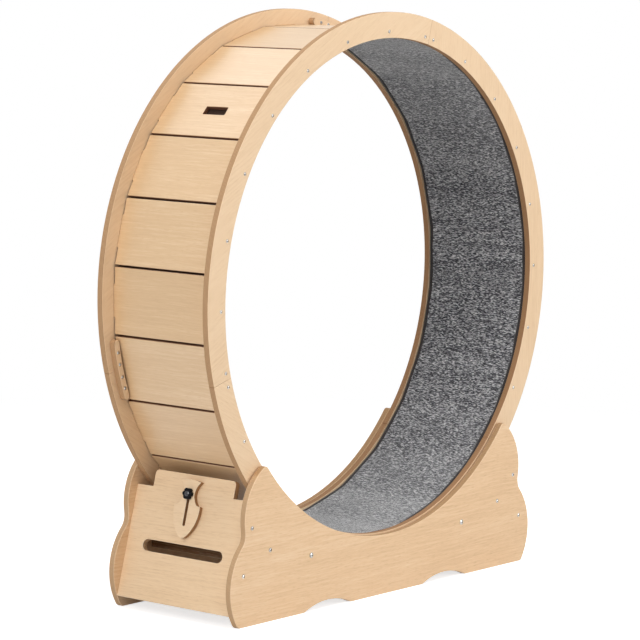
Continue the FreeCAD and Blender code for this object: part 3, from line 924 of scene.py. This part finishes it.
@dataclass
class CarpetLining:
    """The strip of carpet glued round the inside of the slats, with a stitched binding along both edges."""

    pile: bpy.types.Material
    backing: bpy.types.Material
    yarn: bpy.types.Material
    thickness: float = 0.005
    corner_slack: float = 0.0026  # how far the carpet may sink into the corner between two slats
    corner_softness: float = 0.0012
    pile_variation: float = 0.00035
    pile_fineness: tuple[float, float] = (190.0, 250.0)  # round the drum and across it
    edge_drop: float = 0.0006
    drift: float = 0.0005
    columns_per_slat: int = 30
    top_steps: int = 58
    back_steps: int = 4
    bare_edge: float = 0.0022  # between the carpet's cut edge and the outside of the binding
    binding_width: float = 0.0058
    binding_thickness: float = 0.0054
    edge_wander: float = 0.0022
    outer_share: float = 0.12  # how much of that the outside of the binding follows
    stitch: float = 0.0032
    stitch_steps: int = 4
    stitch_relief: float = 0.00032
    edge_flatness: float = 0.8
    creases: tuple[Crease, ...] = (
        Crease(47.5, -1, 0.030, 0.0045, 0.0016),
        Crease(-38.0, -1, 0.045, 0.0060, 0.0022),
        Crease(104.0, 1, 0.028, 0.0050, 0.0015),
    )

    def __post_init__(self) -> None:
        """Take the strip's place from the frame."""
        self.half_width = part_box("carpet")[1].y
        self.pitch = 2 * math.pi / len(SLATS)
        self.phase = min(round(turn_of(slat), 5) for slat in SLATS)
        corner = max(math.hypot(place.x - HUB.x, place.z - HUB.z) for place in corners("carpet"))
        self.back = corner * math.cos(self.pitch / 2)

    def back_radius(self, angle: float) -> float:
        """How far the carpet's back lies from the drum's axis.

        Args:
            angle: Where, about the drum's axis, in radians.

        Returns:
            The radius: that of the flat slats, eased over the corners between them.
        """
        off = (angle - self.phase + self.pitch / 2) % self.pitch - self.pitch / 2
        reaches = (self.back / math.cos(off), self.back + self.corner_slack)
        eased = [math.exp((self.back - reach) / self.corner_softness) for reach in reaches]
        return self.back - self.corner_softness * math.log(sum(eased))

    def lift(self, angle: float, y: float) -> float:
        """How far the creases lift the carpet.

        Args:
            angle: Where, about the drum's axis, in radians.
            y: Where across the strip.

        Returns:
            The lift.
        """
        rise = 0.0
        for crease in self.creases:
            off = (angle - math.radians(crease.angle) + math.pi) % (2 * math.pi) - math.pi
            inward = self.half_width - crease.side * y
            along = off * self.back - 0.12 * inward
            fade = max(0.0, 1.0 - inward / crease.reach)
            rise += crease.lift * math.exp(-((along / crease.width) ** 2)) * fade**1.5
        return rise

    def wander(self, angle: float, side: int) -> float:
        """How far in the edge strays at an angle."""
        spot = radial(angle) * 9.0 + DRUM_AXIS * (3.0 * side)
        return self.edge_wander * (0.5 + 0.5 * noise.noise(spot) + 0.3 * noise.noise(spot * 3.1))

    def at(self, angle: float, y: float, height: float) -> Vector:
        """A place on the strip.

        Args:
            angle: Where, about the drum's axis, in radians.
            y: Where across the strip.
            height: How far above the strip's back.

        Returns:
            The place.
        """
        ripple = self.drift * (0.5 + 0.5 * noise.noise(radial(angle) * 6.0 + DRUM_AXIS * (y * 11)))
        reach = self.back_radius(angle) - height - ripple - self.lift(angle, y)
        return HUB + radial(angle) * reach + DRUM_AXIS * y

    def strip(self) -> bpy.types.Object:
        """The carpet itself, with its pile in relief.

        Returns:
            The piece, whose second material is for its back.
        """
        columns = self.columns_per_slat * len(SLATS)
        rows = []
        for column in range(columns):
            angle = 2 * math.pi * column / columns
            right = -self.half_width + self.bare_edge + self.outer_share * self.wander(angle, -1)
            left = self.half_width - self.bare_edge - self.outer_share * self.wander(angle, 1)
            across = (left - right) / self.back_steps
            row = [self.at(angle, right + across * step, 0.0) for step in range(self.back_steps + 1)]
            for step in range(self.top_steps + 1):
                y = left + (right - left) * step / self.top_steps
                spot = radial(angle) * self.pile_fineness[0] + DRUM_AXIS * (y * self.pile_fineness[1])
                edge = self.edge_drop if step in (0, self.top_steps) else 0.0
                loop = noise.noise(spot) * self.pile_variation
                row.append(self.at(angle, y, self.thickness - self.pile_variation + loop - edge))
            rows.append(row)
        shape = Shape()
        shape.rows(rows, True)
        piece = shape.piece("carpet_strip", 60.0)
        backs = [int(index % len(rows[0]) < self.back_steps) for index in range(len(shape.faces))]
        piece.data.polygons.foreach_set("material_index", backs)
        return piece

    def binding(self, name: str, side: int) -> bpy.types.Object:
        """The overlocked edge on one side.

        Args:
            name: The piece's name.
            side: -1 on the right, 1 on the left.

        Returns:
            The piece.
        """
        stitches = round(2 * math.pi * self.back / self.stitch)
        columns = stitches * self.stitch_steps
        half = self.binding_thickness / 2
        rows = []
        for column in range(columns):
            angle = 2 * math.pi * column / columns
            ridge = self.stitch_relief * (0.5 - 0.5 * math.cos(2 * math.pi * column / self.stitch_steps))
            stray = self.wander(angle, side)
            outside = self.half_width - self.outer_share * stray - self.stitch_relief
            inside = outside - self.binding_width - stray
            middle = outside - half * self.edge_flatness
            section = [(inside, 0.2 * half), (inside, 2 * half - 0.0004), (inside + 0.0016, 2 * half + ridge)]
            turn = arc_points((0.0, half), half + ridge, 90, -90, 6)
            section += [(middle + y * self.edge_flatness, z) for y, z in turn]
            rows.append([self.at(angle, side * y, max(z, -0.0001)) for y, z in section])
        shape = Shape()
        shape.rows(rows if side < 0 else rows[::-1], True)
        return shape.piece(name, 75.0)

    def build(self) -> None:
        """Lay the carpet."""
        strip = self.strip()
        fit(strip, "wheel", "carpet", self.pile, "carpet")
        strip.data.materials.append(self.backing)
        edges = [self.binding(f"carpet_binding_{name}", side) for name, side in (("right", -1), ("left", 1))]
        for edge in edges:
            fit(edge, "wheel", "carpet", self.yarn)


# --- Base ---


@dataclass
class Base:
    """The side plates, end panels and braces, with the screws that hold them."""

    plates: Joinery
    panels: Joinery
    braces: Joinery
    metal: bpy.types.Material
    board: float = 0.012
    plies: int = 9
    screw_turn: float = 1.3

    def boards(self) -> None:
        """Dress the boards, with their grain along them."""
        along_x = Vector((1, 0, 0))
        rear_out = Vector((-LOCK_OUT.x, 0, LOCK_OUT.z))
        lay = (
            ("side_plate_right", self.plates, along_x, DRUM_AXIS),
            ("side_plate_left", self.plates, along_x, DRUM_AXIS),
            ("front_panel", self.panels, DRUM_AXIS, LOCK_OUT),
            ("rear_panel", self.panels, DRUM_AXIS, rear_out),
            ("front_brace", self.braces, DRUM_AXIS, along_x),
            ("rear_brace", self.braces, DRUM_AXIS, along_x),
        )
        for index, (node, joinery, along, facing) in enumerate(lay):
            joinery.dress(Board(node, along, facing, self.board, self.plies, 31 + 3.7 * index))

    def screws(self) -> None:
        """Put domed cross-head screws where the frame has their heads."""
        piece = PanHead().group("base_screw_heads", seats("base_screws"), self.screw_turn)
        fit(piece, "base", "steel", self.metal, "base_screws")

    def build(self) -> None:
        """Dress the base."""
        self.boards()
        self.screws()


# --- Rollers ---


@dataclass
class Rollers:
    """The four grooved rollers with their bearings, and the bolts and nuts that carry them."""

    plastic: bpy.types.Material
    metal: bpy.types.Material
    sides: int = 64
    tread: float = 0.0152
    flange: float = 0.020
    half_groove: float = 0.0065
    half_width: float = 0.0085
    seat: float = 0.00952
    fillet: float = 0.0008
    race: float = 0.0014  # the width of each of a bearing's two rings
    shaft: float = 0.003
    bore: float = 0.00305
    shoulder: float = 0.004
    soft: float = 0.0004  # the small slopes of a bolt's ends
    head_radius: float = 0.005
    head_rim: float = 0.0006
    head_height: float = 0.0024
    socket_reach: float = 0.0017  # from the middle to a corner
    socket_floor: float = 0.0008
    plate_face: float = 0.143
    nut_flats: float = 0.010

    def roller_outline(self) -> Outline:
        """The outline of a roller: half-rounded flanges on each side of a flat tread, round a plain bore.

        Returns:
            The closed outline.
        """
        soft = self.fillet
        top = [
            (self.tread, self.half_groove - 2 * soft),
            (self.tread + soft, self.half_groove),
            *arc_points((self.flange - soft, self.half_groove + soft), soft, -90, 0, 4),
            *arc_points((self.flange - soft, self.half_width - soft), soft, 0, 90, 4),
            (self.seat + soft, self.half_width),
            (self.seat, self.half_width - soft),
        ]
        return top + [(radius, -height) for radius, height in reversed(top)]

    def bearing_outlines(self, half: float) -> list[Outline]:
        """The outlines of a bearing.

        Args:
            half: Half its width.

        Returns:
            The closed outlines of its outer ring, its shield and its inner ring.
        """
        soft, outer, bore = 0.0003, self.seat, self.bore
        rings = []
        for inside, outside in ((outer - self.race, outer), (bore, bore + self.race)):
            ring = [(inside, half - soft), (inside + soft, half)]
            ring += [(outside - soft, half), (outside, half - soft)]
            rings.append(ring + [(radius, -height) for radius, height in reversed(ring)])
        low, high = bore + self.race * 0.9, outer - self.race * 0.9
        shield = [(low, half * 0.8), (high, half * 0.86), (high, -half * 0.86), (low, -half * 0.8)]
        return [rings[0], shield, rings[1]]

    def wheels(self) -> None:
        """Turn each roller and its bearing."""
        for end in ("front", "rear"):
            for side in ("left", "right"):
                body = f"roller_{end}_{side}"
                low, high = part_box(body)
                middle = (low + high) / 2
                place = turned(middle, DRUM_AXIS)
                roller = Shape()
                roller.lathe(self.roller_outline(), self.sides, place, closed=True)
                fit(roller.piece(body + "_wheel"), body, "roller_plastic", self.plastic, body)
                node = f"bearing_{end}_{side}"
                low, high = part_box(node)
                bearing = Shape()
                for outline in self.bearing_outlines((high.y - low.y) / 2):
                    bearing.lathe(outline, self.sides, place, closed=True)
                fit(bearing.piece(node + "_rings"), body, "steel", self.metal, node)

    def bolt_head(self) -> Shape:
        """A domed bolt head with a hexagon socket, about its own Z.

        Returns:
            The head.
        """
        blank, socket = Shape(), Shape()
        cap = dome(self.head_radius, self.head_rim, self.head_height, 10)
        blank.lathe([(0.0, 0.0), (self.head_radius, 0.0), *cap], 40)
        floor, above = self.socket_floor, self.head_height + 0.0006
        reach = self.socket_reach
        socket.lathe([(0.0, floor), (reach, floor), (reach, above), (0.0, above)], 6)
        return carved(blank, socket)

    def bolts(self) -> None:
        """Turn the shouldered bolts and add their heads."""
        head = self.bolt_head()
        shape = Shape()
        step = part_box("bearing_front_left")[1].y + 0.0001
        soft, shaft, shoulder = self.soft, self.shaft, self.shoulder
        for index, seat in enumerate(seats("roller_axles")):
            tip = seat.place
            long = self.plate_face - abs(tip.y)
            thick = step - abs(tip.y)
            outline = [(0.0, 0.0), (shaft - soft, 0.0), (shaft, soft), (shaft, thick)]
            outline += [(shoulder - soft, thick), (shoulder, thick + soft), (shoulder, long), (0.0, long)]
            shape.lathe(outline, 32, turned(tip, seat.out))
            top = Vector((tip.x, math.copysign(self.plate_face, tip.y), tip.z))
            shape.add(head.places, head.faces, turned(top, seat.out, index * 0.7))
        fit(shape.piece("roller_bolts", 32.0), "base", "steel", self.metal, "roller_axles")

    def hexagon(self, share: float, turn: float) -> float:
        """A nut's reach at a turn, cut off round at a share of its corners' reach.

        Args:
            share: The share.
            turn: The turn, in radians.

        Returns:
            The reach.
        """
        half = self.nut_flats / 2
        flat = half / math.cos((turn + math.pi / 6) % (math.pi / 3) - math.pi / 6)
        return min(flat, half / math.cos(math.pi / 6) * share)

    def nuts(self) -> None:
        """Shape the hexagon nuts, chamfered at both ends."""
        shape = Shape()
        for index, seat in enumerate(seats("axle_nuts")):
            steps = ((0.93, 0.0), (1.0, 0.12), (1.0, 0.88), (0.93, 1.0))
            outline = [(partial(self.hexagon, share), height * seat.height) for share, height in steps]
            outline += [(self.bore, seat.height), (self.bore, 0.0)]
            shape.lathe(outline, 36, turned(seat.place, seat.out, index * 0.4), closed=True)
        fit(shape.piece("axle_hex_nuts", 25.0), "base", "steel", self.metal, "axle_nuts")

    def build(self) -> None:
        """Make the rollers and what carries them."""
        self.wheels()
        self.bolts()
        self.nuts()


# --- Lock ---


@dataclass
class Lock:
    """The slide on the front panel, with the stud it runs on and the knob that clamps it."""

    joinery: Joinery
    metal: bpy.types.Material
    plastic: bpy.types.Material
    cap_plastic: bpy.types.Material
    slide_board: float = 0.009
    slide_plies: int = 7
    panel_board: float = 0.012
    knob_radius: float = 0.0108
    knob_height: float = 0.008
    knob_lobes: int = 6
    lobe_radius: float = 0.0042
    knob_start: float = 0.0094  # from the panel's face
    dish: float = 0.0016  # how far the knob's middle lies below its top
    cap_bulge: float = 0.0098  # the radius of the cap's dome
    cap_seat: float = 0.0024  # from the knob's top
    stud_radius: float = 0.0025
    stud_head: float = 0.006
    stud_head_height: float = 0.0024
    stud_reach: float = 0.0055

    def slide(self) -> None:
        """Dress the slide, with its grain across it."""
        sheet = (self.slide_board, self.slide_plies)
        self.joinery.dress(Board("lock_slide", DRUM_AXIS, LOCK_OUT, *sheet, 77.7))

    def lobed(self, inset: float, turn: float) -> float:
        """The knob's radius at a turn, from its round lobes.

        Args:
            inset: How much less it is all round.
            turn: The turn, in radians.

        Returns:
            The radius.
        """
        half = math.pi / self.knob_lobes
        off = (turn + half) % (2 * half) - half
        reach = self.knob_radius - self.lobe_radius
        return reach * math.cos(off) + math.sqrt(self.lobe_radius**2 - (reach * math.sin(off)) ** 2) - inset

    def knob(self) -> None:
        """Shape the knob: six round lobes with a dished top, and a low domed cap in its middle."""
        high = self.knob_height
        layers = [(0.86, 0.0), (0.95, 0.0004), (1.0, 0.0011), (1.0, high - 0.0026), (0.985, high - 0.0019)]
        layers += [(0.93, high - 0.0013), (0.84, high - 0.0011), (0.5, high - 0.0015)]
        sides = [(partial(self.lobed, (1 - size) * self.knob_radius), height) for size, height in layers]
        place = turned(self.stud_line(self.knob_start), LOCK_OUT)
        shape = Shape()
        shape.lathe([(0.0, 0.0), *sides, (0.0, high - self.dish)], 144, place)
        fit(shape.piece("lock_star_knob", 50.0), "lock_knob", "knob_plastic", self.plastic, "lock_knob")
        top = arc_points((0.0, high - self.cap_bulge), self.cap_bulge, 56, 90, 9)
        base = high - self.cap_seat
        cap = Shape()
        cap.lathe([(0.0, base), (top[0][0], base), *top], 48, place)
        fit(cap.piece("lock_knob_cap", 50.0), "lock_knob", "knob_plastic", self.cap_plastic)

    def stud_line(self, out: float) -> Vector:
        """A place on the stud's line, by its distance out from the front panel's face."""
        return Vector(joint_named("lock_knob_turn")["pos_m"]) + LOCK_OUT * out

    def stud(self) -> None:
        """Turn the stud, with a low domed head behind the panel."""
        back = -self.panel_board
        head = back - self.stud_head_height
        tip = self.knob_start + self.stud_reach
        wide = self.stud_head
        outline = [(0.0, head), (wide * 0.55, head + 0.0001), (wide * 0.85, head + 0.0007)]
        outline += [(wide, back - 0.0006), (wide, back), (self.stud_radius, back)]
        outline += [(self.stud_radius, tip), (0.0, tip)]
        shape = Shape()
        shape.lathe(outline, 40, turned(self.stud_line(0.0), LOCK_OUT))
        fit(shape.piece("lock_bolt", 32.0), "base", "steel", self.metal, "lock_stud")

    def build(self) -> None:
        """Make the lock."""
        self.slide()
        self.stud()
        self.knob()


# --- Stage ---


class LampPlace(Enum):
    """The soft lamps round the wheel: place, size, and share of the light on a surface that faces them."""

    NEAR_SIDE = ((1.2, -3.8, 1.55), 2.0, 0.42)
    OVERHEAD = ((-0.6, -1.6, 3.9), 2.4, 0.40)
    FAR_SIDE = ((0.1, 2.5, 3.3), 3.4, 0.27)
    FRONT_END = ((-3.6, -0.35, 2.1), 2.4, 0.39)


@dataclass
class Studio:
    """A white floor, soft lamps and the camera."""

    floor_radii: tuple[float, ...] = (0.5, 1.0, 2.0, 4.0, 8.0, 14.0)
    floor_sides: int = 96
    shadow_reach: float = 1.0
    fill: float = 0.28
    floor_glow: float = 0.72
    azimuth: float = -51.247
    elevation: float = 6.737
    roll: float = 1.003
    lens: float = 173.08
    sensor: float = 36.0
    distance: float = 5.696
    sight: float = 100.0
    aim: tuple[float, float] = (-0.02185, -0.07155)  # right and up from the hub, in the camera's frame

    def floor(self) -> None:
        """A large white disc that keeps the wheel's soft shadow near it."""
        shape = Shape()
        shape.rows([round_row(reach, 0.0, self.floor_sides) for reach in self.floor_radii], False)
        shape.faces.append(tuple(range(self.floor_sides)))
        piece = shape.piece("floor")
        recipe = Recipe("white_floor")
        flat = recipe.stretched(recipe.place, (1.0, 1.0, 0.0))
        away = recipe.node("VectorMath", {0: flat}, operation="LENGTH").outputs["Value"]
        near = recipe.between(away, self.shadow_reach, 2.4 * self.shadow_reach, 1.0, 0.0)
        shown = recipe.seen()
        matt = recipe.node("BsdfDiffuse", {"Color": srgb(214, 214, 214)})
        glow_level = recipe.sum("MULTIPLY", shown, self.floor_glow)
        glow = recipe.node("Emission", {"Color": WHITE, "Strength": glow_level})
        lit = recipe.node("AddShader", {0: matt.outputs[0], 1: glow.outputs[0]})
        white = recipe.node("Emission", {"Color": WHITE, "Strength": 1.0})
        plain = recipe.sum("MULTIPLY", shown, recipe.total(1.0, (near, -1.0)))
        mixed = recipe.node("MixShader", {0: plain, 1: lit.outputs[0], 2: white.outputs[0]})
        recipe.node("OutputMaterial", {"Surface": mixed.outputs[0]})
        piece.data.materials.append(recipe.owner)
        piece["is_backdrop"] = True

    def world(self) -> None:
        """Even light from all round, seen as white."""
        recipe = Recipe("studio", "worlds")
        level = recipe.between(recipe.seen(), 0.0, 1.0, self.fill, 1.0)
        sky = recipe.node("Background", {"Color": WHITE, "Strength": level})
        recipe.node("OutputWorld", {"Surface": sky.outputs[0]})
        bpy.context.scene.world = recipe.owner

    def lamps(self) -> None:
        """Hang the soft lamps, each turned to the drum's middle."""
        for lamp in LampPlace:
            place, size, share = lamp.value
            data = bpy.data.lights.new(lamp.name.lower(), "AREA")
            data.shape = "DISK"
            data.size = size
            away = HUB - Vector(place)
            data.energy = math.pi**2 * share * away.length_squared
            piece = bpy.data.objects.new(lamp.name.lower(), data)
            piece.location = place
            piece.rotation_mode = "QUATERNION"
            piece.rotation_quaternion = away.to_track_quat("-Z", "Y")
            bpy.context.scene.collection.objects.link(piece)

    def camera(self) -> None:
        """Look from the front right, a little above the wheel."""
        azimuth, elevation, roll = map(math.radians, (self.azimuth, self.elevation, self.roll))
        level = math.cos(elevation)
        back = Vector((math.sin(azimuth) * level, -math.cos(azimuth) * level, math.sin(elevation)))
        right = Vector((math.cos(azimuth), math.sin(azimuth), 0))
        up = back.cross(right)
        rolled_right = math.cos(roll) * right + math.sin(roll) * up
        rolled_up = math.cos(roll) * up - math.sin(roll) * right
        data = bpy.data.cameras.new("camera")
        data.lens = self.lens
        data.sensor_width = self.sensor
        data.clip_end = self.sight
        piece = bpy.data.objects.new("camera", data)
        place = HUB + back * self.distance + right * self.aim[0] + up * self.aim[1]
        turn = Matrix((rolled_right, rolled_up, back)).transposed().to_4x4()
        piece.matrix_world = Matrix.Translation(place) @ turn
        bpy.context.scene.collection.objects.link(piece)
        bpy.context.scene.camera = piece

    def build(self) -> None:
        """Set the stage."""
        bpy.context.scene.view_settings.view_transform = "Standard"
        self.floor()
        self.world()
        self.lamps()
        self.camera()


def main() -> None:
    """Dress the wheel, set the stage and note both sizes."""
    logging.basicConfig(level=logging.INFO, format="%(name)s %(message)s")
    metal = MetalFinish().material("zinc_steel")
    nylon = PlasticFinish(srgb(238, 237, 232), srgb(226, 225, 219), 0.42).material("white_nylon")
    black = PlasticFinish(srgb(12, 12, 17), srgb(8, 8, 12), 0.3, shine=0.1).material("black_plastic")
    cap = PlasticFinish(srgb(26, 26, 34), srgb(18, 18, 25), 0.14, shine=0.7).material("black_cap")
    # The rings' inner edges are darkened by painted shade.
    ring_finish = InnerShadeFinish(
        pale_ply=srgb(200, 161, 121),
        dark_ply=srgb(162, 124, 87),
        strength=0.6,
        arris_highlight_share=0.0,
        edge_squareness=(0.55, 0.85),
    )
    slat_finish = WoodFinish(
        face=srgb(221, 186, 142),
        # Dark brown slat edges: their own browner plies, darkened further as painted shade for the gaps
        # between slats.
        pale_ply=srgb(122, 74, 40),
        dark_ply=srgb(82, 46, 22),
        strength=0.85,
        face_roughness=0.38,
        arris_highlight_share=0.0,
        edge_squareness=(0.5, 0.8),
        shine=0.8,
        coat=0.4,
    )
    Drum(Joinery(ring_finish, 0.0010, holed=True), Joinery(slat_finish, 0.0015), metal).build()
    pile = CarpetFinish().material("grey_carpet")
    # The backing is dark, and its brown is painted shade matching the warm gaps between slats.
    backing = YarnFinish(srgb(46, 28, 17), srgb(64, 42, 27)).material("carpet_backing")
    CarpetLining(pile, backing, YarnFinish().material("dark_yarn")).build()
    # The plates' hollow edges are darkened by painted shade near the axis, and their arris gets a faint
    # painted highlight.
    hollow_shade_and_highlight = {"inner_painted_shade": srgb(238, 229, 216), "inner_reach": 0.48, "arris_highlight_share": 0.2}
    plates = Joinery(InnerShadeFinish(face=srgb(232, 196, 155), **hollow_shade_and_highlight))
    panels = Joinery(WoodFinish(face=srgb(240, 208, 169), strength=0.8, arris_highlight_share=0.8))
    # The braces' dark face is painted shade, standing for the shadow inside the base.
    braces = Joinery(WoodFinish(face=srgb(140, 100, 66)))
    Base(plates, panels, braces, metal).build()
    Rollers(nylon, metal).build()
    slide_edges = {"pale_ply": srgb(176, 136, 96), "dark_ply": srgb(140, 102, 66)}
    slide_finish = WoodFinish(face=srgb(243, 212, 174), strength=0.7, arris_highlight_share=0.9, **slide_edges)
    Lock(Joinery(slide_finish, 0.0008), metal, black, cap).build()
    Studio().build()
    sizes = {"cad": CAD_BOX, "visual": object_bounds()}
    for name, box in sizes.items():
        log.info("%s box: %s to %s", name, *[[round(value, 4) for value in corner] for corner in box])


if __name__ == "__main__":
    main()
